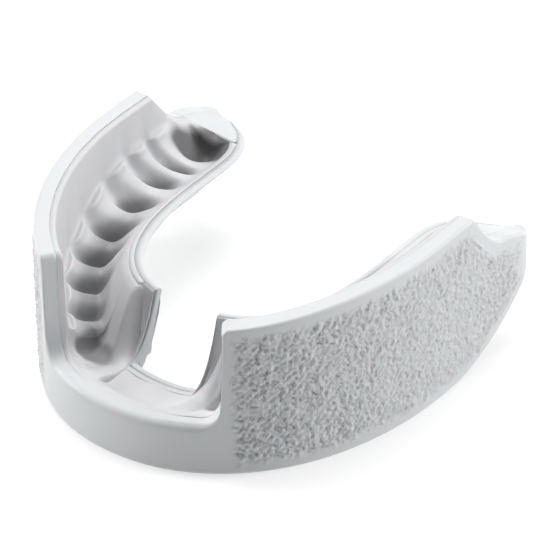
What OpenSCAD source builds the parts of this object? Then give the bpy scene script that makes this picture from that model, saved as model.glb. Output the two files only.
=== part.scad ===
// Single-arch mouthguard: a horseshoe tray in two moulded layers.
// The outer shell carries the tall side flanges; the fit liner is bonded inside it
// and takes the impressions of the teeth.
// X is across the mouth, the front of the arch faces -Y, and the tooth channel opens upwards.

/* [Arch] */
// Width over both side flanges
arch_w = 60; // [54:1:68]
// Length from the front to the rear ends of the arms
arch_l = 61.5; // [57:0.5:68]
// Distance from the front to the widest place of the arch
widest_y = 38.5; // [32:0.5:42]
// Width of the tongue space between the lingual lips
tongue_w = 32.4; // [26:0.2:36]
// Distance from the front to the middle of the lingual lip
lip_front_y = 18.3; // [16:0.1:20]

/* [Flanges] */
// Height of the side flanges at their highest place
flange_h = 26.4; // [22:0.1:30]
// How much lower the side flanges are at their front ends
flange_front_drop = 2.3; // [0:0.1:5]
// Height of the low front wall
front_h = 8.4; // [7:0.1:12]
// Half width of the front notch at the outer wall
notch_half_w = 15.4; // [10:0.1:20]
// Radius of the lower corners of the front notch
notch_r = 3; // [1:0.1:4]
// Height of the lingual lip
lip_h = 16; // [12:0.1:19]
// Height of the heel at the rear ends
heel_h = 18.3; // [15:0.1:20]
// Length of the heel at the rear ends
heel_l = 8.3; // [5:0.1:9]

/* [Layers] */
// Thickness of the outer wall of the shell
shell_wall = 2.3; // [1.5:0.1:3]
// Thickness of the shell at the lingual lip
lip_wall = 1.3; // [1:0.1:2]
// Thickness of the shell under the channel
shell_floor = 1.6; // [1:0.1:2]
// Thickness of the liner on the outer wall
liner_wall = 0.9; // [0.6:0.1:1.5]
// Thickness of the liner at the lingual lip
liner_lip = 0.7; // [0.5:0.1:1.2]
// Thickness of the liner on the bite plate
liner_floor = 1.8; // [1.2:0.1:2.5]

/* [Tooth row] */
// Number of impressions on each side
tooth_count = 9; // [6:1:10]
// Depth of the scallops between neighbouring impressions
scallop_depth = 0.9; // [0:0.1:1.2]

/* [Hidden] */
eps = 0.06;                          // half the gap between the two rings of an upright face
step_u = 0.0008;                     // the same where the notch ends, in stations
half_w = arch_w / 2;
outer_power = 2.1;                   // superellipse exponent of the outer plan
inner_power = 2.6;                   // superellipse exponent of the lingual plan
lip_half_w = tongue_w / 2;
lip_center_y = widest_y + 4.5;       // where the lingual lips turn straight
rear_taper = 0.3;                    // how far the arms turn in at the rear
outer_corner_r = 3.5;                // plan radius of the outer rear corner
inner_corner_r = 12.0;               // plan radius of the lingual rear corner
rocker_l = 20;                       // length over which the lower rear corner rises
rocker_h = min(heel_h, lip_h) - 3.7; // how far it rises
rocker_power = 1.5;                  // superellipse exponent of that rise
swoop_start_y = 45.5;                // where the flange top begins to fall
swoop_lead = 1.4;                    // how steeply it sets off, against an even slope
swoop_end_y = 53.5;                  // where it meets the heel
heel_y = arch_l - heel_l;            // front face of the heel
end_y = arch_l + 0.25;               // where the two rear corner curves would meet
slim_w = 8;                          // width of an arm below which its walls slim
heel_fall = 2.4;                     // how far the heel slopes down towards its rear end
tab_start = 0.112;                   // station where the lingual tab starts to rise
tab_flare = 2.4;                     // how much the tab's edge flares at its foot
tab_end = 0.168;                     // station where the tab is at its full height
front_plate_z = 2.4;                 // underside of the bite plate at the front
arm_plate_z = 7.8;                   // underside of the bite plate in the arms
flange_bow = 0.8;                    // how far the front tabs bow towards the tongue
foot_extra = 0.7;                    // how much thicker the tabs are below their lips
front_foot = 0.62;                   // place of the tabs' foot from the outer wall to the lip
arm_foot = 0.50;                     // the same in the arms
low_lip = 0.15;                      // share of the tab that is left across the front
crown_fall = 0.3;                    // how far the flange top falls before the swoop
front_crest_z = 7.5;                 // top of the impressions at the front
arm_crest_z = 18.5;                  // top of the impressions in the arms
fillet_u = 0.075;                    // stations that the notch's lower corner takes
row_end = 1.75;                      // station where the row of impressions ends
edge_r = 0.5;                        // chamfer on the upper edges

shell_colour = [0.94, 0.94, 0.93];
liner_colour = [0.80, 0.80, 0.83];

function smooth(v) = let (c = max(0, min(1, v))) c * c * (3 - 2 * c);
function mix(a, b, v) = a + (b - a) * v;
function unit(v) = v / norm(v);

// Plan curves. u runs from 0 at the front to 1 at the widest place and 2 at the rear end.
function outer_raw(u) = u <= 1
    ? [half_w * pow(sin(90 * u), 2 / outer_power),
       widest_y * (1 - pow(cos(90 * u), 2 / outer_power))]
    : [half_w - rear_taper * pow(u - 1, 2), mix(widest_y, arch_l, u - 1)];
function lip_raw(u) = u <= 1
    ? [lip_half_w * pow(sin(90 * u), 2 / inner_power),
       lip_center_y - (lip_center_y - lip_front_y) * pow(cos(90 * u), 2 / inner_power)]
    : [lip_half_w, mix(lip_center_y, arch_l, u - 1)];

// Inset that rounds a rear corner of radius r, at the distance d from the rear end.
function corner_inset(d, r) = d >= r ? 0 : r - sqrt(max(0, r * r - pow(r - d, 2)));

function outer_normal(u) = u < 0.002 ? [0, 1]
    : let (t = unit(outer_raw(u + 0.004) - outer_raw(max(0, u - 0.004)))) [-t[1], t[0]];
function lip_normal(u) = u < 0.002 ? [0, -1]
    : let (t = unit(lip_raw(u + 0.004) - lip_raw(max(0, u - 0.004)))) [t[1], -t[0]];

// Heights along the arch.
u_notch = asin(pow(notch_half_w / half_w, outer_power / 2)) / 90;
function notch_gap(u) = norm(outer_raw(u) - outer_raw(u_notch));
function flange_top(u) =
    let (y = outer_raw(u)[1], v = min(1, y / swoop_start_y))
    mix(flange_h - flange_front_drop * pow(1 - v, 2) - crown_fall * pow(v, 4), heel_h,
        swoop((y - swoop_start_y) / (swoop_end_y - swoop_start_y))) - heel_drop(y);
function swoop(v) = let (c = max(0, min(1, v))) c * (swoop_lead - (swoop_lead - 1) * c * c);
function heel_drop(y) = heel_fall * smooth((y - heel_y) / heel_l);
function wall_top(u) = u < u_notch ? front_h + corner_inset(notch_gap(u), notch_r) : flange_top(u);
function wall_bottom(u) =
    let (y = outer_raw(u)[1], v = max(0, min(1, (y - arch_l + rocker_l) / rocker_l)))
    rocker_h * (1 - pow(max(0, 1 - pow(v, rocker_power)), 1 / rocker_power));

// The bite plate is low at the front and higher in the arms, and the lingual flange leans
// inwards from its edge, like the vault of a palate.
function vault(u) = smooth(u / 0.75);
function tab_rise(u) = smooth((u - tab_start) / (tab_end - tab_start));
function plate_z(u) = max(mix(front_plate_z, arm_plate_z, vault(u)), wall_bottom(u) + 1);
function cavity_z(u) = plate_z(u) + shell_floor;
function bed_z(u) = cavity_z(u) + liner_floor;
function lip_top(u) = mix(bed_z(u) + 0.2, lip_h - 0.6 * heel_drop(outer_raw(u)[1]),
                        pow(tab_rise(u), tab_flare));

// Plan curves with their rear corners rounded, and how far the walls slim where these meet.
function outer_line(u) =
    outer_raw(u) + outer_normal(u) * corner_inset(end_y - outer_raw(u)[1], outer_corner_r);
function lip_line(u) =
    lip_raw(u) + lip_normal(u) * corner_inset(end_y - lip_raw(u)[1], inner_corner_r);
function slim(u) = min(1, norm(outer_line(u) - lip_line(u)) / slim_w);

// A point n inside the outer wall's outer face.
function wall_pt(u, n) = outer_line(u) + outer_normal(u) * n * slim(u);
// A point m inside the lingual flange's outer face, v of the way from its foot to its lip.
function flange_pt(u, v, m) =
    let (lip = lip_line(u), foot = mix(outer_line(u), lip, mix(front_foot, arm_foot, vault(u))))
    mix(foot, lip, v * max(low_lip, tab_rise(u)))
    + lip_normal(u) * (m * slim(u) - 4 * flange_bow * tab_rise(u) * (1 - vault(u)) * v * (1 - v));

// Inner face of the shell, from the rim of the outer wall across the channel to the lip.
function cavity(u) =
    let (top = wall_top(u), z = cavity_z(u), lip = lip_top(u), w = shell_wall)
    outer_raw(u)[1] > heel_y
    ? [[wall_pt(u, w), top],
       [mix(wall_pt(u, w), flange_pt(u, 1, lip_wall), 0.15), mix(top, lip, 0.15)],
       [mix(wall_pt(u, w), flange_pt(u, 1, lip_wall), 0.35), mix(top, lip, 0.35)],
       [mix(wall_pt(u, w), flange_pt(u, 1, lip_wall), 0.65), mix(top, lip, 0.65)],
       [mix(wall_pt(u, w), flange_pt(u, 1, lip_wall), 0.85), mix(top, lip, 0.85)],
       [flange_pt(u, 1, lip_wall), lip]]
    : [[wall_pt(u, w), top],
       [wall_pt(u, w), z + 1.2],
       [wall_pt(u, w + 1), z],
       [flange_pt(u, 0, mix(0.9, 0.4, vault(u))), z + 0.1],
       [flange_pt(u, 0.5, 0.9), mix(z, lip, 0.45)],
       [flange_pt(u, 1, lip_wall), lip]];

// Outer face of the shell, from the lip along the underside and up the outer wall.
function skin(u) =
    let (top = wall_top(u), low = wall_bottom(u), z = plate_z(u), lip = lip_top(u),
         w = shell_wall)
    [[flange_pt(u, 1, edge_r), lip],
     [flange_pt(u, 1, 0), lip - edge_r],
     [flange_pt(u, 0.5, -foot_extra * (1 - vault(u))), mix(z, lip, 0.45)],
     [flange_pt(u, 0.08, 0.1 - foot_extra * (1 - vault(u))), z + 0.4],
     [flange_pt(u, 0, 0.8), z],
     [wall_pt(u, w + 1), z],
     [wall_pt(u, w), max(z - 1, low + 0.5)],
     [wall_pt(u, w - 0.2), low + 0.4],
     [wall_pt(u, w - 0.5), low],
     [wall_pt(u, 0.6), low],
     [wall_pt(u, 0.2), low + 0.25],
     [wall_pt(u, 0), low + 0.8],
     [wall_pt(u, 0), top - edge_r],
     [wall_pt(u, edge_r), top]];

// Surface that the teeth meet, from the rim of the outer wall to the lip.
function scallop(u) = pow(abs(cos(180 * tooth_count * u / row_end)), 1.5);
function bed(u) =
    let (top = wall_top(u), lip = lip_top(u), z = bed_z(u), w = shell_wall + liner_wall,
         m = lip_wall + liner_lip, foot = mix(1.9, 0.7, vault(u)), bump = scallop_depth * scallop(u),
         crest = max(z + 1, min(mix(front_crest_z, arm_crest_z, vault(u)), top - 1.5)))
    [[wall_pt(u, w), top - 0.1],
     [wall_pt(u, w + 0.1), crest],
     [wall_pt(u, w + 0.4 + bump), mix(z, crest, 0.6)],
     [wall_pt(u, w + 1.2 + 0.6 * bump), z + 0.4],
     [mix(wall_pt(u, w + 1.4), flange_pt(u, 0, foot), 0.5), z - 0.3 + 0.6 * bump],
     [flange_pt(u, 0, foot), z + 0.2],
     [flange_pt(u, 0.5, 1.5 + 0.3 * bump), mix(z, lip, 0.45)],
     [flange_pt(u, 1, m), lip - 0.1]];

// A ring of 3-D points, mirrored for the other side of the mouth and centred front to back.
function ring(points, side) = [for (p = points) [side * p[0][0], p[0][1] - arch_l / 2, p[1]]];

// Stations of one side, closer together where the heights change quickly.
function front_stations() = concat(
    [for (i = [0:4]) i / 5 * tab_start],
    [for (i = [0:6]) mix(tab_start, tab_end, i / 6)],
    [for (i = [1:3]) mix(tab_end, u_notch - fillet_u, i / 4)],
    [for (i = [0:7]) u_notch - fillet_u * (1 - sin(90 * i / 7)) - step_u]);
function rear_u(y) = 1 + (y - widest_y) / (arch_l - widest_y);
function arm_stations() = concat(
    [for (i = [0:36]) mix(u_notch + step_u, rear_u(swoop_start_y), i / 36)],
    [for (i = [1:9]) rear_u(mix(swoop_start_y, heel_y - eps, i / 9))]);
function heel_stations() =
    [for (i = [0:8]) rear_u(mix(heel_y + eps, arch_l, sin(90 * i / 8)))];

// Sweeps closed rings along the arch, from the rear of one arm round to the other.
module sweep(rings) {
    count = len(rings);
    sides = len(rings[0]);
    points = [for (r = rings) for (p = r) p];
    walls = [for (i = [0:count - 2]) for (j = [0:sides - 1])
        let (k = (j + 1) % sides, a = i * sides + j, b = i * sides + k,
             c = (i + 1) * sides + k, d = (i + 1) * sides + j)
        each [[a, b, c], [a, c, d]]];
    first = [for (j = [sides - 1:-1:0]) j];
    last = [for (j = [0:sides - 1]) (count - 1) * sides + j];
    polyhedron(points = points, faces = concat(walls, [first], [last]), convexity = 10);
}

function reversed(list) = [for (i = [len(list) - 1:-1:0]) list[i]];

module outer_shell() {
    half = concat(front_stations(), arm_stations(), heel_stations());
    right = [for (u = half) ring(concat(skin(u), cavity(u)), 1)];
    left = [for (i = [1:len(half) - 1]) ring(concat(skin(half[i]), cavity(half[i])), -1)];
    color(shell_colour) sweep(concat(reversed(left), right));
}

module fit_liner() {
    half = concat(front_stations(), arm_stations());
    right = [for (u = half) ring(concat(reversed(cavity(u)), bed(u)), 1)];
    left = [for (i = [1:len(half) - 1]) ring(concat(reversed(cavity(half[i])), bed(half[i])), -1)];
    color(liner_colour) sweep(concat(reversed(left), right));
}

outer_shell();
fit_liner();
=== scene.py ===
"""Single-arch mouthguard: a soft outer shell with grained side flanges and a fit liner
bonded inside it, which takes the impressions of the teeth.

X is across the mouth, the front of the arch faces -Y, and the tooth channel opens upwards.
"""

import math
from types import SimpleNamespace

import bpy
import numpy as np
from bpy.props import FloatProperty, FloatVectorProperty, IntProperty, PointerProperty
from mathutils import Matrix, Vector, noise


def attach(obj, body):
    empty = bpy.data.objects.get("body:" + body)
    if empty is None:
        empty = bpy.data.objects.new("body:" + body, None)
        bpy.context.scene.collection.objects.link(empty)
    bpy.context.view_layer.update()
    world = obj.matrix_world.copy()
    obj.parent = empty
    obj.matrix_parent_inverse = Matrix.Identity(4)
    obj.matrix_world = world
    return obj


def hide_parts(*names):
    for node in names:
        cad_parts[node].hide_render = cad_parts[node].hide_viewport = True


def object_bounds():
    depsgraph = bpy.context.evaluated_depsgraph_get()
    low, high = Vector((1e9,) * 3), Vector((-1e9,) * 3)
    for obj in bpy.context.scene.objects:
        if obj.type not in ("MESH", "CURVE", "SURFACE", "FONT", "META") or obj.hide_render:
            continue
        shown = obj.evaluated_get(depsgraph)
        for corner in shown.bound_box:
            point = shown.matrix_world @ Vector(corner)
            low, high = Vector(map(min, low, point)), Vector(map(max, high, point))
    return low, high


bl_info = {
    "name": "Single-arch mouthguard",
    "version": (1, 0, 0),
    "blender": (4, 5, 0),
    "location": "3D View > Sidebar > Mouthguard",
    "description": "Builds the shell and the fit liner of a mouthguard, and a small studio for them",
    "category": "Add Mesh",
}

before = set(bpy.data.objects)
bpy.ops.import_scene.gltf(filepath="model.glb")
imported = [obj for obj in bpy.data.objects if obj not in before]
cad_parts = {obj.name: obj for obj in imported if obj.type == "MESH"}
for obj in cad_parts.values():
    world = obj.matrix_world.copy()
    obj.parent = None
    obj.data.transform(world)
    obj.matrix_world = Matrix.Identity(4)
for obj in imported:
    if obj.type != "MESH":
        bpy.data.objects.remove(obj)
CAD_LOW, CAD_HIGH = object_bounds()
CAD_SIZE = CAD_HIGH - CAD_LOW
MM = 0.001
QUARTER = math.pi / 2


# ---------------------------------------------------------------- sizes and colours


class ArchSizes(bpy.types.PropertyGroup):
    """Plan and heights of the whole arch."""

    width: FloatProperty(name="Width", description="Width over both side flanges", default=CAD_SIZE.x, unit="LENGTH")
    length: FloatProperty(name="Length", description="Front to the rear ends", default=CAD_SIZE.y, unit="LENGTH")
    widest_y: FloatProperty(
        name="Widest place", description="From the front to the widest place", default=0.0385, unit="LENGTH"
    )
    tongue_width: FloatProperty(
        name="Tongue space", description="Width between the lingual lips", default=0.0324, unit="LENGTH"
    )
    lip_front_y: FloatProperty(
        name="Lip front", description="From the front to the middle of the lip", default=0.0183, unit="LENGTH"
    )
    flange_height: FloatProperty(
        name="Flange height", description="Highest place of the side flanges", default=0.0264, unit="LENGTH"
    )
    front_drop: FloatProperty(
        name="Front drop", description="How much lower the flanges are in front", default=0.0023, unit="LENGTH"
    )
    front_height: FloatProperty(
        name="Front height", description="Height of the low front wall", default=0.0084, unit="LENGTH"
    )
    notch_half_width: FloatProperty(
        name="Notch half width", description="Half width of the front notch", default=0.0154, unit="LENGTH"
    )
    notch_radius: FloatProperty(
        name="Notch radius", description="Lower corners of the front notch", default=0.003, unit="LENGTH"
    )
    crown_radius: FloatProperty(
        name="Crown radius", description="Upper front corner of a side flange", default=0.0013, unit="LENGTH"
    )
    lip_height: FloatProperty(name="Lip height", description="Lingual lip", default=0.016, unit="LENGTH")
    heel_height: FloatProperty(name="Heel height", description="Rear heels", default=0.0183, unit="LENGTH")
    heel_length: FloatProperty(name="Heel length", description="Rear heels", default=0.0083, unit="LENGTH")
    edge_radius: FloatProperty(name="Edge radius", description="Outer upper edges", default=0.0004, unit="LENGTH")


class LayerSizes(bpy.types.PropertyGroup):
    """Thicknesses of the two layers, and the impressions in the liner."""

    shell_wall: FloatProperty(name="Shell wall", description="Outer wall", default=0.0023, unit="LENGTH")
    shell_lip: FloatProperty(name="Shell lip", description="Shell at the lingual lip", default=0.0013, unit="LENGTH")
    shell_floor: FloatProperty(name="Shell floor", description="Bite plate", default=0.0016, unit="LENGTH")
    liner_wall: FloatProperty(name="Liner wall", description="Liner on the outer wall", default=0.0009, unit="LENGTH")
    liner_lip: FloatProperty(name="Liner lip", description="Liner at the lingual lip", default=0.0008, unit="LENGTH")
    cushion: FloatProperty(
        name="Cushion", description="How far the gum cushions stand out from the wall", default=0.0015, unit="LENGTH"
    )


class FinishSizes(bpy.types.PropertyGroup):
    """Grain and colours."""

    grain_depth: FloatProperty(
        name="Grain depth", description="Relief of the grained panels", default=0.0004, unit="LENGTH"
    )
    grain_margin: FloatProperty(
        name="Grain margin", description="Smooth border round a grained panel", default=0.0019, unit="LENGTH"
    )
    shell_colour: FloatVectorProperty(
        name="Shell colour", description="Outer shell", default=(0.585, 0.6, 0.61), subtype="COLOR", min=0, max=1
    )
    liner_colour: FloatVectorProperty(
        name="Liner colour", description="Fit liner", default=(0.575, 0.575, 0.587), subtype="COLOR", min=0, max=1
    )
    mesh_pitch: FloatProperty(
        name="Mesh pitch", description="Spacing of the rings along the grained flanges", default=0.000265, unit="LENGTH"
    )
    wall_rows: IntProperty(name="Wall rows", description="Rows of faces up the outer wall", default=80, min=12)


class StudioSizes(bpy.types.PropertyGroup):
    """Camera, light and floor."""

    azimuth: FloatProperty(
        name="Azimuth", description="Round the arch from its front", default=math.radians(36.66), subtype="ANGLE"
    )
    elevation: FloatProperty(
        name="Elevation", description="Above the floor", default=math.radians(34.45), subtype="ANGLE"
    )
    roll: FloatProperty(name="Roll", description="Tilt of the camera", default=math.radians(1.05), subtype="ANGLE")
    distance: FloatProperty(name="Distance", description="Camera to target", default=0.7445, unit="LENGTH")
    lens: FloatProperty(name="Lens", description="Focal length in millimetres", default=324.8, min=1)
    target: FloatVectorProperty(
        name="Target", description="Where the camera looks", default=(-0.00716, 0.01871, -0.00082), unit="LENGTH"
    )
    floor_colour: FloatVectorProperty(
        name="Floor colour", description="Pale floor", default=(0.42, 0.42, 0.42), subtype="COLOR", min=0, max=1
    )
    floor_glow: FloatProperty(name="Floor glow", description="Light from the lit table", default=0.6, min=0)
    ambient: FloatProperty(name="Ambient", description="Strength of the room's light", default=0.02, min=0)


def in_mm(group):
    """The group's values, with every length in millimetres."""
    values = {}
    for key in type(group).__annotations__:
        value = getattr(group, key)
        if group.bl_rna.properties[key].unit == "LENGTH":
            value = value / MM
        values[key] = value
    return SimpleNamespace(**values)


# ---------------------------------------------------------------- shaping helpers


def smooth(v):
    """Eases from 0 to 1."""
    c = np.clip(v, 0, 1)
    return c * c * (3 - 2 * c)


def mix(a, b, v):
    return a + (b - a) * v


def corner_inset(d, r):
    """How far a corner of radius r pulls a face in, at the distance d from the edge."""
    left = np.clip(r - d, 0, r)
    return r - np.sqrt(np.maximum(r * r - left * left, 0))


def rounded(points, rounds):
    """Cuts the corners of open polylines, whose points run along the last axis."""
    for _ in range(rounds):
        near, far = points[..., :-1], points[..., 1:]
        cut = np.stack([mix(near, far, 0.25), mix(near, far, 0.75)], axis=-1)
        cut = cut.reshape(*points.shape[:-1], -1)
        points = np.concatenate([points[..., :1], cut[..., 1:-1], points[..., -1:]], axis=-1)
    return points


def spline(points, steps):
    """Smooth curves through points that run along the last axis, with steps spans between each pair."""
    first = 2 * points[..., :1] - points[..., 1:2]
    last = 2 * points[..., -1:] - points[..., -2:-1]
    p = np.concatenate([first, points, last], axis=-1)
    a, b, c, d = (p[..., k : p.shape[-1] - 3 + k, None] for k in range(4))
    t = np.arange(steps) / steps
    out = 0.5 * (2 * b + (c - a) * t + (2 * a - 5 * b + 4 * c - d) * t**2 + (3 * b - a - 3 * c + d) * t**3)
    return np.concatenate([out.reshape(*points.shape[:-1], -1), points[..., -1:]], axis=-1)


def edge_distance(s, z, edge_s, edge_z):
    """Distance from each point of a grid to a polyline's vertices, both laid flat."""
    near = np.empty(s.shape)
    for row in range(len(s)):
        ds = s[row][:, None] - edge_s
        dz = z[row][:, None] - edge_z
        near[row] = np.sqrt((ds * ds + dz * dz).min(axis=1))
    return near


# ---------------------------------------------------------------- the arch


class Arch:
    """Plan curves and heights in millimetres. A plan point is a complex number, x across and y
    back from the front. u is a station: 0 in front, 1 at the widest place and 2 at the rear."""

    outer_power = 2.1  # superellipse exponent of the outer plan
    inner_power = 2.6  # superellipse exponent of the lingual plan
    rear_taper = 0.3  # how far the arms turn in at the rear
    outer_corner = 3.5  # plan radius of the outer rear corner
    inner_corner = 12.0  # plan radius of the lingual rear corner
    slim_width = 8.0  # width of an arm below which its walls slim
    rocker_length = 20.0  # length over which the lower rear corner rises
    rocker_rise = 12.3
    rocker_power = 1.5  # superellipse exponent of that rise
    swoop = (45.5, 53.5)  # where the flange top falls to the heel
    swoop_lead = 1.4  # how steeply it sets off, against an even slope
    heel_fall = 2.4  # how far a heel's top falls to the rear
    crest_fall = 0.3  # how far a flange's crest falls towards the heel
    rear_radius = 0.8  # rounding of the upper edge at the rear
    foot_radius = 0.8  # rounding of the outer wall's lower edge
    draft = 0.4  # lean of the flanges' front ends
    tab_span = (0.120, 0.150)  # stations over which the lingual tab rises
    tab_foot = 0.147  # lingual station reached where the tab stands full
    tab_joins = 0.30  # station from which both sides keep step again
    tab_flare = 2.4  # how steep the tab's edge is under its lip
    least_rise = 0.15  # share of the lingual flange left where there is no tab
    front_plate = 2.4  # underside of the bite plate in front
    arm_plate = 7.8  # underside of the bite plate in the arms

    def __init__(self, sizes, layers):
        self.k, self.w = sizes, layers
        self.heel_y = sizes.length - sizes.heel_length
        self.end_y = sizes.length + 0.25
        u = np.linspace(0, 2, 8001)
        line = self.outer(u)
        self.table_u = u
        self.table_s = np.concatenate([[0], np.cumsum(np.abs(np.diff(line)))])
        self.table_y = line.imag
        self.table_x = line.real

    # plan curves

    def outer(self, u):
        k, a = self.k, np.clip(u, 0, 1) * QUARTER
        rear = np.maximum(u - 1, 0)
        x = k.width / 2 * np.sin(a) ** (2 / self.outer_power) - self.rear_taper * rear**2
        y = k.widest_y * (1 - np.maximum(np.cos(a), 0) ** (2 / self.outer_power))
        return x + 1j * (y + (k.length - k.widest_y) * rear)

    def lip(self, u):
        k, a = self.k, np.clip(u, 0, 1) * QUARTER
        rear, centre = np.maximum(u - 1, 0), k.widest_y + 4.5
        x = k.tongue_width / 2 * np.sin(a) ** (2 / self.inner_power)
        y = centre - (centre - k.lip_front_y) * np.maximum(np.cos(a), 0) ** (2 / self.inner_power)
        return x + 1j * (y + (k.length - centre) * rear)

    def inward(self, line, u, turn):
        """Unit normal of a plan curve, into the material."""
        step = 0.004
        along = line(u + step) - line(np.maximum(u - step, 0))
        normal = along / np.abs(along) * turn
        return np.where(u < step / 2, turn, normal)

    def u_at(self, s):
        """Station at an outer arc length."""
        return np.interp(s, self.table_s, self.table_u)

    def s_at(self, u):
        return np.interp(u, self.table_u, self.table_s)

    def y_at(self, s):
        return np.interp(s, self.table_s, self.table_y)

    # heights

    def heel_drop(self, y):
        return self.heel_fall * smooth((y - self.heel_y) / self.k.heel_length)

    def flange_top(self, s):
        k, y = self.k, self.y_at(s)
        v = np.minimum(1, y / self.swoop[0])
        crest = k.flange_height - k.front_drop * (1 - v) ** 2 - self.crest_fall * v**4
        v = np.clip((y - self.swoop[0]) / (self.swoop[1] - self.swoop[0]), 0, 1)
        fall = v * (self.swoop_lead - (self.swoop_lead - 1) * v * v)
        return mix(crest, k.heel_height, fall) - self.heel_drop(y) - self.rear_round(y)

    def rear_round(self, y):
        """How far the upper edge of the rear end is rounded off."""
        return corner_inset(self.k.length - y, self.rear_radius)

    def wall_bottom(self, u):
        y = self.outer(u).imag
        v = np.clip((y - self.k.length + self.rocker_length) / self.rocker_length, 0, 0.9995)
        return self.rocker_rise * (1 - (1 - v**self.rocker_power) ** (1 / self.rocker_power))

    def vault(self, u):
        return smooth(u / 0.75)

    def plate(self, u):
        return np.maximum(mix(self.front_plate, self.arm_plate, self.vault(u)), self.wall_bottom(u) + 1)

    def cavity_z(self, u):
        return self.plate(u) + self.w.shell_floor

    def bed_z(self, u):
        return self.cavity_z(u) + 1.8

    # points on the walls

    def outer_line(self, u):
        """The outer plan with its rear corner rounded."""
        corner = corner_inset(self.end_y - self.outer(u).imag, self.outer_corner)
        return self.outer(u) + self.inward(self.outer, u, 1j) * corner

    def lip_line(self, u):
        """The lingual plan with its rear corner rounded."""
        corner = corner_inset(self.end_y - self.lip(u).imag, self.inner_corner)
        return self.lip(u) + self.inward(self.lip, u, -1j) * corner

    def slim(self, u):
        """How far the walls slim where the two rear corners meet."""
        return np.minimum(1, np.abs(self.outer_line(u) - self.lip_line(u)) / self.slim_width)

    def wall(self, u, n):
        """A point n inside the outer wall's outer face."""
        return self.outer_line(u) + self.inward(self.outer, u, 1j) * n * self.slim(u)

    def flange(self, u, rise, v, m):
        """A point m inside the lingual flange's face, v of the way from its foot to its lip."""
        into, vault = self.inward(self.lip, u, -1j), self.vault(u)
        lip = self.lip_line(u)
        foot = mix(self.outer_line(u), lip, mix(0.62, 0.50, vault))
        bow = 3.2 * rise * (1 - vault) * v * (1 - v)
        return mix(foot, lip, v * np.maximum(self.least_rise, rise)) + into * (m * self.slim(u) - bow)


def stations(arch, pitch):
    """Rings of one half of the arch: for each, its outer arc length, the rim's height there, the
    station of its lingual side, and how far the lingual tab has risen."""
    k = arch.k
    half = len(arch.table_u) // 2
    s_notch = np.interp(k.notch_half_width, arch.table_x[:half], arch.table_s[:half])
    u_tab = arch.tab_span
    s_tab = arch.s_at(u_tab)
    s_low = s_notch - k.notch_radius
    s_crown = s_notch + arch.draft + k.crown_radius
    crown = float(arch.flange_top(s_crown))
    turn = np.linspace(0, QUARTER, 9)[1:]
    heel_s = float(arch.s_at(1 + (arch.heel_y - k.widest_y) / (k.length - k.widest_y)))
    end_s = arch.table_s[-1] - 0.06

    front = np.concatenate(
        [
            np.linspace(0, s_tab[0], 16)[:-1],
            np.linspace(s_tab[0], s_tab[1], 34)[:-1],
            np.linspace(s_tab[1], s_low, 16),
        ]
    )
    rise = np.linspace(0, 1, 26)[1:]
    arms = np.linspace(s_crown, heel_s, int((heel_s - s_crown) / pitch))[1:]
    heel = heel_s + 0.02 + (end_s - heel_s - 0.02) * np.sin(np.linspace(0, QUARTER, 24))
    s = np.concatenate(
        [
            front,
            s_low + k.notch_radius * np.sin(turn),
            s_notch + arch.draft * rise,
            s_crown - k.crown_radius * np.cos(turn),
            arms,
            heel,
        ]
    )
    base = k.front_height + k.notch_radius
    top = np.concatenate(
        [
            np.full(len(front), k.front_height),
            k.front_height + k.notch_radius * (1 - np.cos(turn)),
            mix(base, crown - k.crown_radius, rise),
            crown - k.crown_radius * (1 - np.sin(turn)),
            arch.flange_top(arms),
            arch.flange_top(heel),
        ]
    )
    # the lingual tab's edge is steep below its lip and flares at its foot
    t = np.clip((s - s_tab[0]) / (s_tab[1] - s_tab[0]), 0, 1)
    tab = smooth(t / 0.8)
    u = arch.u_at(s)
    after = np.interp(u, [u_tab[1], arch.tab_joins], [arch.tab_foot, arch.tab_joins])
    rising = mix(u_tab[0], arch.tab_foot, 1 - (1 - t) ** arch.tab_flare)
    lingual = np.where(u < u_tab[1], rising, after)
    lingual = np.where((u < u_tab[0]) | (u > arch.tab_joins), u, lingual)
    y = arch.outer(u).imag
    return SimpleNamespace(s=s, top=top, u=u, lingual=lingual, tab=tab, y=y, heel_s=heel_s, notch_s=s_notch)


def on_flank(st, start, length):
    """0 in front of a place measured from the notch, 1 from the given length behind it."""
    return smooth((st.s - st.notch_s - start) / length)


def tab_edge(arch, st, v):
    """Distance of places on the lingual flange from the tab's front edge."""
    slope = 11.0  # length of the flange's slope
    clear = 9.0  # stands for any place far from the edge
    across = np.abs(np.diff(arch.lip(st.lingual), prepend=0))
    along = np.cumsum(across)
    near = (st.u > 0.1) & (st.u < 0.24)
    rise = np.maximum(arch.least_rise, st.tab)
    up = v * rise[:, None] * slope
    place = np.broadcast_to(along[:, None], up.shape)
    edge = np.full(up.shape, clear)
    edge[near] = edge_distance(place[near], up[near], along[near], rise[near] * slope)
    return edge * on_tab(st)[:, None] + clear * (1 - on_tab(st))[:, None]


def on_tab(st):
    """0 in front of the lingual tab, 1 where it stands."""
    return smooth(st.tab / 0.3)


def lip_top(arch, st):
    """Height of the lingual lip."""
    full = arch.k.lip_height - 0.6 * arch.heel_drop(st.y) - arch.rear_round(st.y)
    return mix(arch.bed_z(st.u) + 0.2, full, st.tab**arch.tab_flare)


def columns(*values):
    """Per-ring arrays as columns, to combine with rows of section values."""
    return [v[:, None] for v in values]


# ---------------------------------------------------------------- grain


# direction, frequency along and across the strokes (per millimetre), and share
GRAIN_STROKES = ((-0.9, 0.95, 2.8, 0.75), (0.65, 1.2, 2.8, 0.25))


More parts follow.
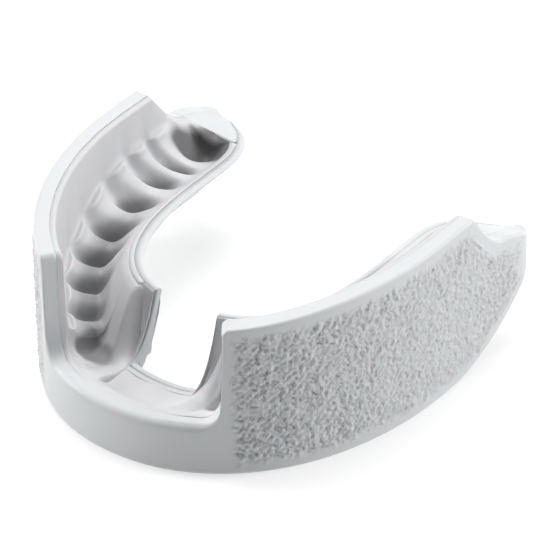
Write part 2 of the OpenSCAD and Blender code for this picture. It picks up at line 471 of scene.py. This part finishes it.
def grain_height(s, z):
    """Relief of the moulded grain at a place on the flange: crossing strokes over fine pebbles."""
    drift = [noise.noise(Vector((s * 0.3, z * 0.3, layer))) for layer in (3.1, 17.3)]
    s, z = s + 0.8 * drift[0], z + 0.8 * drift[1]
    strokes = 0.0
    for angle, along, across, share in GRAIN_STROKES:
        a = s * math.cos(angle) + z * math.sin(angle)
        b = z * math.cos(angle) - s * math.sin(angle)
        wave = noise.noise(Vector((a * along, b * across, 7.7 * angle)))
        strokes += share * (0.55 - 2.2 * abs(wave))
    pebbles = noise.noise(Vector((s * 2.4, z * 2.4, 11.0)))
    return strokes + 0.9 * pebbles


def grain_field(arch, s, z, edge, low, front, margin):
    """Relief over a grid of the outer face, and its mask, which fades towards the panel's border."""
    relief, mask = np.zeros(s.shape), np.zeros(s.shape)
    rear = arch.table_s[-1] - s
    clear = np.minimum(np.minimum(edge, (z - low) * 0.9), np.minimum(rear * 0.42, s - front))
    for i, j in zip(*np.nonzero(clear > margin * 0.3)):
        place = Vector((s[i, j] * 0.8, z[i, j] * 0.8, 31.0))
        ragged = clear[i, j] + 0.9 * noise.noise(place)
        mask[i, j] = min(max((ragged - margin * 0.75) / (margin * 0.5), 0), 1)
        relief[i, j] = grain_height(s[i, j], z[i, j])
    return relief, mask


# ---------------------------------------------------------------- meshes


def swept_mesh(name, plan, height, attributes):
    """A closed skin over one half's rings and their mirror images, made into an object in metres."""
    mirror = lambda grid: np.concatenate([grid[:0:-1], grid])
    x = np.concatenate([-plan.real[:0:-1], plan.real])
    y = mirror(plan.imag)
    rings, sides = x.shape
    points = np.stack([x, y, mirror(height)], axis=-1).reshape(-1, 3) * MM
    points[:, 1] += CAD_LOW.y
    corner = np.arange(rings * sides).reshape(rings, sides)
    a, b = corner[:-1], np.roll(corner, -1, axis=1)[:-1]
    c, d = np.roll(corner, -1, axis=1)[1:], corner[1:]
    quads = np.stack([a, d, c, b], axis=-1).reshape(-1, 4)
    faces = quads.tolist() + [corner[0].tolist(), corner[-1][::-1].tolist()]
    mesh = bpy.data.meshes.new(name)
    mesh.from_pydata(points.tolist(), [], faces)
    for key, grid in attributes.items():
        layer = mesh.attributes.new(key, "FLOAT", "POINT")
        layer.data.foreach_set("value", mirror(grid).reshape(-1).astype(np.float32))
    mesh.validate()
    mesh.shade_smooth()
    piece = bpy.data.objects.new(name, mesh)
    bpy.context.scene.collection.objects.link(piece)
    return piece


TUCK = 0.6  # how far the hidden faces between the layers lie below the tray's floor


def shell_section(arch, st, rows, finish):
    """Plan points and heights of every ring of the shell, and the grain's mask."""
    w = arch.w
    u, top, s = columns(st.u, st.top, st.s)
    flank = columns(on_flank(st, -4, 4))[0]
    r = mix(1.2, arch.k.edge_radius, flank)
    low, lip = columns(arch.wall_bottom(st.u), lip_top(arch, st))
    count, base = len(st.s), arch.foot_radius
    fine = np.linspace(0, count - 1, 4 * count)
    rim_s, rim_z = (np.interp(fine, np.arange(count), line) for line in (st.s, st.top))

    # outer face, from its bottom edge to the rim
    turn = np.linspace(0, QUARTER, 6)
    foot = low + base * (1 - np.cos(turn[:-1]))
    crest = top - r * (1 - np.sin(turn))
    middle = mix(low + base, top - r, np.linspace(0, 1, rows)[None, :-1])
    z = np.concatenate([foot, middle, crest], axis=1)
    place = np.broadcast_to(s, z.shape)
    edge = edge_distance(place, z, rim_s, rim_z)
    inset = corner_inset(edge, r) + corner_inset(z - low, base)
    relief, mask = grain_field(arch, place, z, edge, low, st.notch_s, finish.grain_margin)
    face = arch.wall(u, inset - finish.grain_depth * relief * mask)

    # rim, and the hidden faces behind the liner
    groove = 0.06 * columns(on_flank(st, 1, 2))[0]  # the parting line on the rim
    inner_turn = np.linspace(0, QUARTER, 4)
    rim_n = mix(r, w.shell_wall - groove, np.linspace(0, 1, 6)[None, 1:])
    rim = arch.wall(u, rim_n + 0 * u)
    groove_face = arch.wall(u, w.shell_wall - groove * (1 - np.sin(inner_turn[1:])) + 0 * u)
    groove_z = top - groove * (1 - np.cos(inner_turn[1:])) - 0.12 * (1 - flank)
    v_u, tab = columns(st.lingual, st.tab)
    vault = arch.vault(v_u)
    cavity = arch.cavity_z(u) - TUCK
    solid = columns(st.s > st.heel_s + 0.01)[0]
    across = np.array([0.1, 0.3, 0.55, 0.8, 0.93])[None]
    lip_in = arch.flange(v_u, tab, 1, w.shell_lip)
    heel_plan = mix(arch.wall(u, w.shell_wall), lip_in, across)
    heel_z = mix(top, lip, across)
    channel = np.concatenate(
        [
            arch.wall(u, w.shell_wall),
            arch.wall(u, w.shell_wall),
            arch.wall(u, w.shell_wall + 1),
            arch.flange(v_u, tab, 0, mix(0.9, 0.4, vault)),
            arch.flange(v_u, tab, 0.5, 0.7),
        ],
        axis=1,
    )
    channel_z = np.concatenate(
        [mix(top, cavity, 0.5), cavity + 1.2, cavity, cavity, mix(cavity, lip, 0.4)], axis=1
    )
    hidden = np.where(solid, heel_plan, channel)
    hidden_z = np.where(solid, heel_z, channel_z)

    # lip
    lip_r, lip_groove = 0.5, 0.03
    groove_lip = arch.flange(v_u, tab, 1, w.shell_lip - lip_groove * (1 - np.cos(inner_turn[::-1])))
    groove_lip_z = lip - lip_groove * np.cos(inner_turn)
    round_lip = arch.flange(v_u, tab, 1, lip_r * (1 - np.sin(turn)))
    round_lip_z = lip - lip_r * (1 - np.cos(turn))

    # lingual face and underside
    plate = arch.plate(u)
    step = np.linspace(0.97, 0.16, 12)[None]
    swell = -0.7 * (1 - vault) * np.sin(step * math.pi) ** 0.7
    cut = corner_inset(tab_edge(arch, st, step), lip_r)
    lingual = arch.flange(v_u, tab, step, swell + cut)
    lingual_z = mix(plate, lip - lip_r, step)
    under = np.concatenate(
        [
            arch.flange(v_u, tab, 0.08, 0.1 - 0.7 * (1 - vault)),
            arch.flange(v_u, tab, 0, 0.8),
            mix(arch.flange(v_u, tab, 0, 0.8), arch.wall(u, w.shell_wall + 1), 0.5),
            arch.wall(u, w.shell_wall + 1),
            arch.wall(u, w.shell_wall),
            arch.wall(u, w.shell_wall - 0.2),
            arch.wall(u, w.shell_wall - 0.5),
            arch.wall(u, 0.8),
        ],
        axis=1,
    )
    under_z = np.concatenate(
        [plate + 0.4, plate, plate, plate, np.maximum(plate - 1, low + 0.5), low + 0.4, low, low], axis=1
    )
    under, under_z = rounded(under, 2), rounded(under_z, 2)

    plan = np.concatenate([face, rim, groove_face, hidden, groove_lip, round_lip, lingual, under], axis=1)
    dome = 0.12 * (1 - flank) * np.linspace(0, 1, 6)[1:] ** 2
    height = np.concatenate(
        [
            z,
            top - dome,
            groove_z,
            hidden_z,
            groove_lip_z + 0 * lip,
            round_lip_z,
            lingual_z,
            under_z,
        ],
        axis=1,
    )
    spread = np.zeros(plan.shape)
    spread[:, : mask.shape[1]] = mask
    return plan, height, spread


# Ridges between the impressions: outer arc length of each, and how high it stands
RIDGES = np.array((-8.7, -3.5, 3.5, 8.7, 13.2, 17.8, 23.4, 30.3, 37.1, 43.9, 51.2, 56.3, 60.5, 70.5, 90.0))
RIDGE_HEIGHTS = np.array((0, 0, 0, 0.15, 0.55, 0.9, 1, 1, 1, 1, 1, 1, 0.95, 0, 0))

# Height of the ridges' crests and of the impressions, at outer arc lengths
CRESTS = ((12, 20, 24.4, 32.4, 38.6, 44.9, 51.5, 60), (9, 11.2, 12.6, 13.8, 15.2, 17, 18.4, 18.9))
HOLLOWS = (
    (7, 11, 15, 20, 27, 38, 44, 50, 58, 63, 67),
    (5.4, 4.6, 5.6, 6.6, 7.8, 10.0, 11.6, 12.8, 13.4, 12.4, 12.2),
)

# Profiles across the channel: places from the outer wall, 0, to the lip, 1, and how far the
# surface has fallen there in an impression, on a ridge and on the low front
ACROSS = np.array((0, 0.01, 0.03, 0.07, 0.13, 0.22, 0.33, 0.44, 0.55, 0.66, 0.77, 0.88, 0.95, 1))[None]
HOLLOW_FALL = np.array((0, 0, 0, 0.08, 0.22, 0.46, 0.72, 0.9, 0.98, 1, 1, 1, 1, 1))[None]
RIDGE_FALL = np.array((0, 0, 0, 0, 0.06, 0.16, 0.28, 0.4, 0.48, 0.52, 0.54, 0.54, 0.54, 0.54))[None]
FRONT_FALL = np.array((0, 0.01, 0.03, 0.09, 0.22, 0.5, 0.8, 0.95, 1, 1, 1, 1, 1, 1))[None]

# Soft dips and swells of the front's bed: place across, place back, and depth
DIPS = ((3.4, 8.6, 0.3), (0, 10.4, -0.15), (12, 10.2, 0.5))
DIP_SPREAD = 3.5

# Painted shadow pool in the foremost impression: its middle and its half sizes in plan
SHADOW_POOL = (12.0, 10.6)
SHADOW_POOL_REACH = (4.0, 2.9)


def ridge_share(s):
    """How high the ridges between the impressions stand: 1 on a full ridge, 0 in an impression."""
    i = np.clip(np.searchsorted(RIDGES, s) - 1, 0, len(RIDGES) - 2)
    phase = np.clip((s - RIDGES[i]) / (RIDGES[i + 1] - RIDGES[i]), 0, 1)
    valley = (0.5 - 0.5 * np.cos(2 * math.pi * phase)) ** 2
    return mix(RIDGE_HEIGHTS[i], RIDGE_HEIGHTS[i + 1], smooth(phase)) * (1 - valley)


def liner_section(arch, st):
    """Plan points and heights of every ring of the liner, and the painted shade at each point, darker the lower it lies
    in an impression.
    """
    w = arch.w
    u, top, s, v_u, tab = columns(st.u, st.top, st.s, st.lingual, st.tab)
    lip, cavity, bed = columns(lip_top(arch, st), arch.cavity_z(st.u), arch.bed_z(st.u))
    vault = arch.vault(u)
    back_n, inner_n = w.shell_wall + 0.01, w.shell_wall + w.liner_wall
    lip_back, lip_inner = w.shell_lip + 0.01, w.shell_lip + w.liner_lip
    ridge, flank, step_down = columns(ridge_share(st.s), on_flank(st, -9.5, 5.5), on_flank(st, 1.5, 3))

    # the last impression's end wall rises to the heel
    end_wall = 4.5
    end = columns(np.clip((st.s - st.heel_s + end_wall) / end_wall, 0, 1))[0] ** 8
    top = top - mix(0.12, 0.2 * step_down, flank) * (1 - end)
    lip = lip + 0.06 * tab * (1 - end)
    bead_n, bead_z = mix(0.7, 0.4, flank), mix(0.1, 0.4, flank) * (1 - end)
    lip_bead_n, lip_bead_z = mix(0.05, 0.35, tab), mix(0.05, 0.4, tab) * (1 - end)

    # the surface across the channel
    t = ACROSS
    crest, hollow = np.interp(s, *CRESTS), np.interp(s, *HOLLOWS)
    hollow = np.maximum(hollow, cavity + 0.5)
    crest = np.minimum(crest, top - 1.6)
    brow = np.where(t < 0.05, np.minimum(mix(top - bead_z, crest + 1.8, t / 0.03), top - bead_z), crest + 1.8)
    brow = np.minimum(mix(brow, crest + 0.9, smooth((t - 0.03) / 0.1)), top - bead_z)
    share = mix(ridge, 0.45, smooth((t - 0.42) / 0.25) * (1 - smooth((s - 20) / 10)))
    fall = mix(HOLLOW_FALL * (brow - hollow), RIDGE_FALL * (crest + 0.9 - hollow), share)
    lift = smooth((t - mix(0.42, 0.5, vault)) / mix(0.56, 0.48, vault))
    sunk = brow - fall
    trough = sunk + (lip - lip_bead_z - sunk) * lift
    low_front = mix(top - bead_z, bed + 0.15, FRONT_FALL)
    height = mix(low_front, trough, flank)
    height[:, :1] = top - bead_z
    height[:, -1:] = lip - lip_bead_z

    wall = lambda n: arch.wall(u, n + 0 * u)
    cut_lip = corner_inset(tab_edge(arch, st, np.ones(s.shape)), 0.5)
    lip_point = arch.flange(v_u, tab, 1, lip_inner - cut_lip)
    inward = arch.inward(arch.outer, u, 1j)
    stand_out = w.cushion * ridge * flank * np.interp(t, (0, 0.02, 0.07, 0.14, 0.3), (0, 0.05, 0.6, 0.5, 0))
    plan = mix(wall(inner_n), lip_point, t) + inward * stand_out
    even = np.linspace(0, 1, t.size)[None]
    plan = mix(plan, mix(plan[:, :1], plan[:, -1:], even), end)
    height = mix(height, mix(height[:, :1], height[:, -1:], even), end)
    plan, height = spline(plan, 6), spline(height, 6)
    for x, y, deep in DIPS:
        reach = np.abs(np.abs(plan.real) - x) ** 2 + (plan.imag - y) ** 2
        height = height - deep * np.exp(-reach / DIP_SPREAD)

    # rims: a rounded bead on the outer wall and on the lip
    turn = np.linspace(0, QUARTER, 5)
    groove = 0.05 * flank
    rim_out = wall(back_n + groove * (1 - np.cos(turn[:4])))
    rim_out_z = top - groove * (1 - np.sin(turn[:4]))
    rim_in = wall(inner_n - bead_n * (1 - np.sin(turn)))
    rim_in_z = top - bead_z * (1 - np.cos(turn))
    bead_lip = lip_bead_n * (1 - np.cos(turn))
    lip_in = arch.flange(v_u, tab, 1, lip_inner - cut_lip - bead_lip)
    lip_in_z = lip - lip_bead_z * (1 - np.sin(turn))
    lip_out = arch.flange(v_u, tab, 1, lip_back + 0.03 * tab * (1 - np.sin(turn[:4])))
    lip_out_z = lip - 0.03 * tab * (1 - np.cos(turn[:4]))

    # back, against the shell
    back = np.concatenate(
        [
            arch.flange(v_u, tab, 0.5, 0.74),
            arch.flange(v_u, tab, 0, mix(0.94, 0.44, vault)),
            wall(back_n + 1),
            wall(back_n),
            wall(back_n),
        ],
        axis=1,
    )
    back_z = np.concatenate(
        [
            mix(cavity - TUCK, lip, 0.42),
            cavity - TUCK + 0.1,
            cavity - TUCK + 0.04,
            cavity + 0.6,
            mix(top, cavity, 0.4),
        ],
        axis=1,
    )

    full = np.concatenate([rim_out, rim_in, plan[:, 1:-1], lip_in, lip_out, back], axis=1)
    tall = np.concatenate([rim_out_z, rim_in_z, height[:, 1:-1], lip_in_z, lip_out_z, back_z], axis=1)

    # painted shade in the impressions: darker where a point lies lower under the ridges' crests, with painted shadow
    # pools in the foremost and the last impression
    # painted shadow in the last impression, under its end wall
    last = smooth((s - 60.5) / 3.5) * smooth((crest + 1.6 - tall) / 2.5)
    # painted shadow pool in the foremost impression, whose own dip in the mesh is shallow
    across = (np.abs(full.real) - SHADOW_POOL[0]) / SHADOW_POOL_REACH[0]
    shadow_pool = across**2 + ((full.imag - SHADOW_POOL[1]) / SHADOW_POOL_REACH[1]) ** 2
    first = 0.828 * smooth((1.15 - shadow_pool) / 0.7) * smooth((top - 0.3 - tall) / 0.8) * (1 - smooth((tall - 9) / 2))
    pocket_shadow = np.maximum(last, first)
    front_part = 1 - smooth((s - 34) / 14)
    # painted shade below the ridges' crests, weaker on the ridges
    below = smooth((crest + mix(0.6, 1.4, front_part) - tall) / 4.0)
    painted_shade = np.maximum(0.8 * below * (1 - mix(0.5, 0.12, front_part) * ridge), pocket_shadow) * flank
    # the painted shade fades towards the lip, except in the painted shadow pools
    painted_shade = painted_shade * (1 - smooth((tall - lip + 1.6) / 1.6) * smooth((crest - lip + 4) / 2) * (1 - pocket_shadow))
    bare = 18  # last points of a ring: the lip's bead and the hidden back get no painted shade
    painted_shade[:, -bare:] = 0
    return full, tall, painted_shade


# ---------------------------------------------------------------- materials


def new_material(name, colour, roughness):
    """A principled material, and its nodes."""
    material = bpy.data.materials.new(name)
    material.use_nodes = True
    nodes, links = material.node_tree.nodes, material.node_tree.links
    shader = nodes["Principled BSDF"]
    shader.inputs["Base Color"].default_value = (*colour, 1)
    shader.inputs["Roughness"].default_value = roughness
    return material, nodes, links, shader


def noise_node(nodes, links, source, scale, detail):
    node = nodes.new("ShaderNodeTexNoise")
    node.inputs["Scale"].default_value = scale
    node.inputs["Detail"].default_value = detail
    links.new(source, node.inputs["Vector"])
    return node.outputs["Fac"]


def ranged(nodes, links, source, low, high):
    """Maps a value from 0..1 to low..high."""
    node = nodes.new("ShaderNodeMapRange")
    node.inputs["To Min"].default_value = low
    node.inputs["To Max"].default_value = high
    links.new(source, node.inputs["Value"])
    return node.outputs["Result"]


def soft_polymer(name, colour, roughness, mask_name, dark):
    """Satin soft-moulded polymer. dark is the share of its colour kept where the mask is 1; on the liner that mask is
    painted shade in the impressions.
    """
    material, nodes, links, shader = new_material(name, colour, roughness)
    place = nodes.new("ShaderNodeTexCoord").outputs["Object"]
    mask = nodes.new("ShaderNodeAttribute")
    mask.attribute_name = mask_name
    cloud = noise_node(nodes, links, place, 160, 3)
    shade = nodes.new("ShaderNodeMix")
    shade.data_type = "RGBA"
    shade.inputs["A"].default_value = (*[c * 0.97 for c in colour], 1)
    shade.inputs["B"].default_value = (*colour, 1)
    links.new(cloud, shade.inputs["Factor"])
    # darkened by the mask: painted shade on the liner, a slightly darker grained panel on the shell
    deep = nodes.new("ShaderNodeMix")
    deep.data_type = "RGBA"
    deep.inputs["B"].default_value = (*[c * dark for c in colour], 1)
    links.new(mask.outputs["Fac"], deep.inputs["Factor"])
    links.new(shade.outputs["Result"], deep.inputs["A"])
    links.new(deep.outputs["Result"], shader.inputs["Base Color"])
    satin = noise_node(nodes, links, place, 900, 4)
    links.new(ranged(nodes, links, satin, roughness - 0.06, roughness + 0.08), shader.inputs["Roughness"])
    shader.inputs["Specular IOR Level"].default_value = 0.35
    shader.inputs["Subsurface Weight"].default_value = 0.12
    shader.inputs["Subsurface Scale"].default_value = 0.0008
    return material, nodes, links, shader, place, mask


def shell_polymer(finish):
    material, nodes, links, shader, place, mask = soft_polymer(
        "shell_polymer", finish.shell_colour, 0.46, "grain", 0.97
    )
    fine = noise_node(nodes, links, place, 3200, 3)
    skin = nodes.new("ShaderNodeBump")
    skin.inputs["Strength"].default_value = 0.12
    skin.inputs["Distance"].default_value = 0.00008
    links.new(fine, skin.inputs["Height"])
    pebble = nodes.new("ShaderNodeTexVoronoi")
    pebble.inputs["Scale"].default_value = 1500
    links.new(place, pebble.inputs["Vector"])
    held = nodes.new("ShaderNodeMath")
    held.operation = "MULTIPLY"
    links.new(pebble.outputs["Distance"], held.inputs[0])
    links.new(mask.outputs["Fac"], held.inputs[1])
    grain = nodes.new("ShaderNodeBump")
    grain.inputs["Strength"].default_value = 0.9
    grain.inputs["Distance"].default_value = 0.0002
    links.new(held.outputs["Value"], grain.inputs["Height"])
    links.new(skin.outputs["Normal"], grain.inputs["Normal"])
    links.new(grain.outputs["Normal"], shader.inputs["Normal"])
    return material


def liner_polymer(finish):
    # the liner's colour falls to a quarter under the painted shade in its impressions
    material, nodes, links, shader, place, _ = soft_polymer("liner_polymer", finish.liner_colour, 0.5, "painted_shade", 0.25)
    fine = noise_node(nodes, links, place, 1400, 3)
    skin = nodes.new("ShaderNodeBump")
    skin.inputs["Strength"].default_value = 0.1
    skin.inputs["Distance"].default_value = 0.0001
    links.new(fine, skin.inputs["Height"])
    links.new(skin.outputs["Normal"], shader.inputs["Normal"])
    return material


def stand_for(piece, node, material):
    """Dresses a finished piece and lets it stand for its CAD node."""
    piece.data.materials.append(material)
    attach(piece, "root")
    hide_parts(node)


# ---------------------------------------------------------------- operators


class MOUTHGUARD_OT_outer_shell(bpy.types.Operator):
    """Builds the outer shell with its grained side flanges"""

    bl_idname = "mouthguard.outer_shell"
    bl_label = "Outer shell"

    def execute(self, context):
        scene = context.scene
        arch = Arch(in_mm(scene.mouthguard_arch), in_mm(scene.mouthguard_layers))
        finish = in_mm(scene.mouthguard_finish)
        st = stations(arch, finish.mesh_pitch)
        plan, height, grain = shell_section(arch, st, finish.wall_rows, finish)
        piece = swept_mesh("shell_moulding", plan, height, {"grain": grain})
        stand_for(piece, "outer_shell", shell_polymer(finish))
        return {"FINISHED"}


class MOUTHGUARD_OT_fit_liner(bpy.types.Operator):
    """Builds the fit liner with its row of impressions"""

    bl_idname = "mouthguard.fit_liner"
    bl_label = "Fit liner"

    def execute(self, context):
        scene = context.scene
        arch = Arch(in_mm(scene.mouthguard_arch), in_mm(scene.mouthguard_layers))
        finish = in_mm(scene.mouthguard_finish)
        st = stations(arch, 0.4)
        keep = st.s <= st.heel_s + 0.01
        for key in ("s", "top", "u", "lingual", "tab", "y"):
            setattr(st, key, getattr(st, key)[keep])
        plan, height, painted_shade = liner_section(arch, st)
        piece = swept_mesh("liner_moulding", plan, height, {"painted_shade": painted_shade})
        stand_for(piece, "fit_liner", liner_polymer(finish))
        return {"FINISHED"}


def softbox(name, place, target, size, power):
    """A rectangular soft light at place, aimed at target."""
    data = bpy.data.lights.new(name, "AREA")
    data.shape = "RECTANGLE"
    data.size, data.size_y = size
    data.energy = power
    lamp = bpy.data.objects.new(name, data)
    lamp.location = place
    lamp.rotation_euler = (Vector(target) - Vector(place)).to_track_quat("-Z", "Y").to_euler()
    bpy.context.scene.collection.objects.link(lamp)


class MOUTHGUARD_OT_studio(bpy.types.Operator):
    """Builds the camera, the soft lights and the pale floor"""

    bl_idname = "mouthguard.studio"
    bl_label = "Studio"

    def execute(self, context):
        scene = context.scene
        k = scene.mouthguard_studio

        camera = bpy.data.objects.new("camera", bpy.data.cameras.new("camera"))
        camera.data.lens = k.lens
        camera.data.sensor_width = 36
        camera.data.clip_start, camera.data.clip_end = 0.01, 20
        out = Vector(
            (
                math.sin(k.azimuth) * math.cos(k.elevation),
                -math.cos(k.azimuth) * math.cos(k.elevation),
                math.sin(k.elevation),
            )
        )
        level = (-out).to_track_quat("-Z", "Y").to_matrix()
        camera.matrix_world = Matrix.Translation(Vector(k.target) + out * k.distance) @ (
            level @ Matrix.Rotation(-k.roll, 3, "Z")
        ).to_4x4()
        scene.collection.objects.link(camera)
        scene.camera = camera

        half = 1.5  # half the floor's side, in metres
        mesh = bpy.data.meshes.new("floor")
        corners = [(-half, -half, 0), (half, -half, 0), (half, half, 0), (-half, half, 0)]
        mesh.from_pydata(corners, [], [(0, 1, 2, 3)])
        floor = bpy.data.objects.new("floor", mesh)
        scene.collection.objects.link(floor)
        material, nodes, links, shader = new_material("floor_paper", k.floor_colour, 0.9)
        shader.inputs["Specular IOR Level"].default_value = 0.1
        shader.inputs["Emission Color"].default_value = (1, 1, 1, 1)
        shader.inputs["Emission Strength"].default_value = k.floor_glow
        place = nodes.new("ShaderNodeTexCoord").outputs["Object"]
        fibre = noise_node(nodes, links, place, 600, 4)
        links.new(ranged(nodes, links, fibre, 0.85, 0.95), shader.inputs["Roughness"])
        mesh.materials.append(material)

        world = bpy.data.worlds.new("room")
        world.use_nodes = True
        world.node_tree.nodes["Background"].inputs["Color"].default_value = (1, 1, 1, 1)
        world.node_tree.nodes["Background"].inputs["Strength"].default_value = k.ambient
        scene.world = world

        middle = (0, 0, 0.01)
        softbox("top_light", (-0.15, 0.2, 1.0), middle, (0.8, 0.8), 12.8)
        softbox("left_light", (-0.93, -0.3, 0.35), middle, (0.4, 0.5), 8.6)
        softbox("right_light", (0.8, 0.6, 0.4), middle, (0.4, 0.4), 8.5)
        scene.view_settings.view_transform = "Standard"
        return {"FINISHED"}


class MOUTHGUARD_PT_sidebar(bpy.types.Panel):
    """Lists what can be built, and the sizes and colours it is built with"""

    bl_idname = "MOUTHGUARD_PT_sidebar"
    bl_label = "Mouthguard"
    bl_space_type = "VIEW_3D"
    bl_region_type = "UI"
    bl_category = "Mouthguard"

    def draw(self, context):
        layout = self.layout
        for operator in PARTS:
            layout.operator(operator.bl_idname)
        for key in GROUPS:
            group = getattr(context.scene, key)
            box = layout.box()
            for name in type(group).__annotations__:
                box.prop(group, name)


PARTS = (MOUTHGUARD_OT_outer_shell, MOUTHGUARD_OT_fit_liner, MOUTHGUARD_OT_studio)
GROUPS = {
    "mouthguard_arch": ArchSizes,
    "mouthguard_layers": LayerSizes,
    "mouthguard_finish": FinishSizes,
    "mouthguard_studio": StudioSizes,
}


def register():
    for group in GROUPS.values():
        bpy.utils.register_class(group)
    for key, group in GROUPS.items():
        setattr(bpy.types.Scene, key, PointerProperty(type=group))
    for operator in PARTS:
        bpy.utils.register_class(operator)
    bpy.utils.register_class(MOUTHGUARD_PT_sidebar)


def unregister():
    bpy.utils.unregister_class(MOUTHGUARD_PT_sidebar)
    for operator in reversed(PARTS):
        bpy.utils.unregister_class(operator)
    for key, group in GROUPS.items():
        delattr(bpy.types.Scene, key)
        bpy.utils.unregister_class(group)


def main():
    register()
    bpy.ops.mouthguard.outer_shell()
    bpy.ops.mouthguard.fit_liner()
    bpy.ops.mouthguard.studio()


if __name__ == "__main__":
    main()
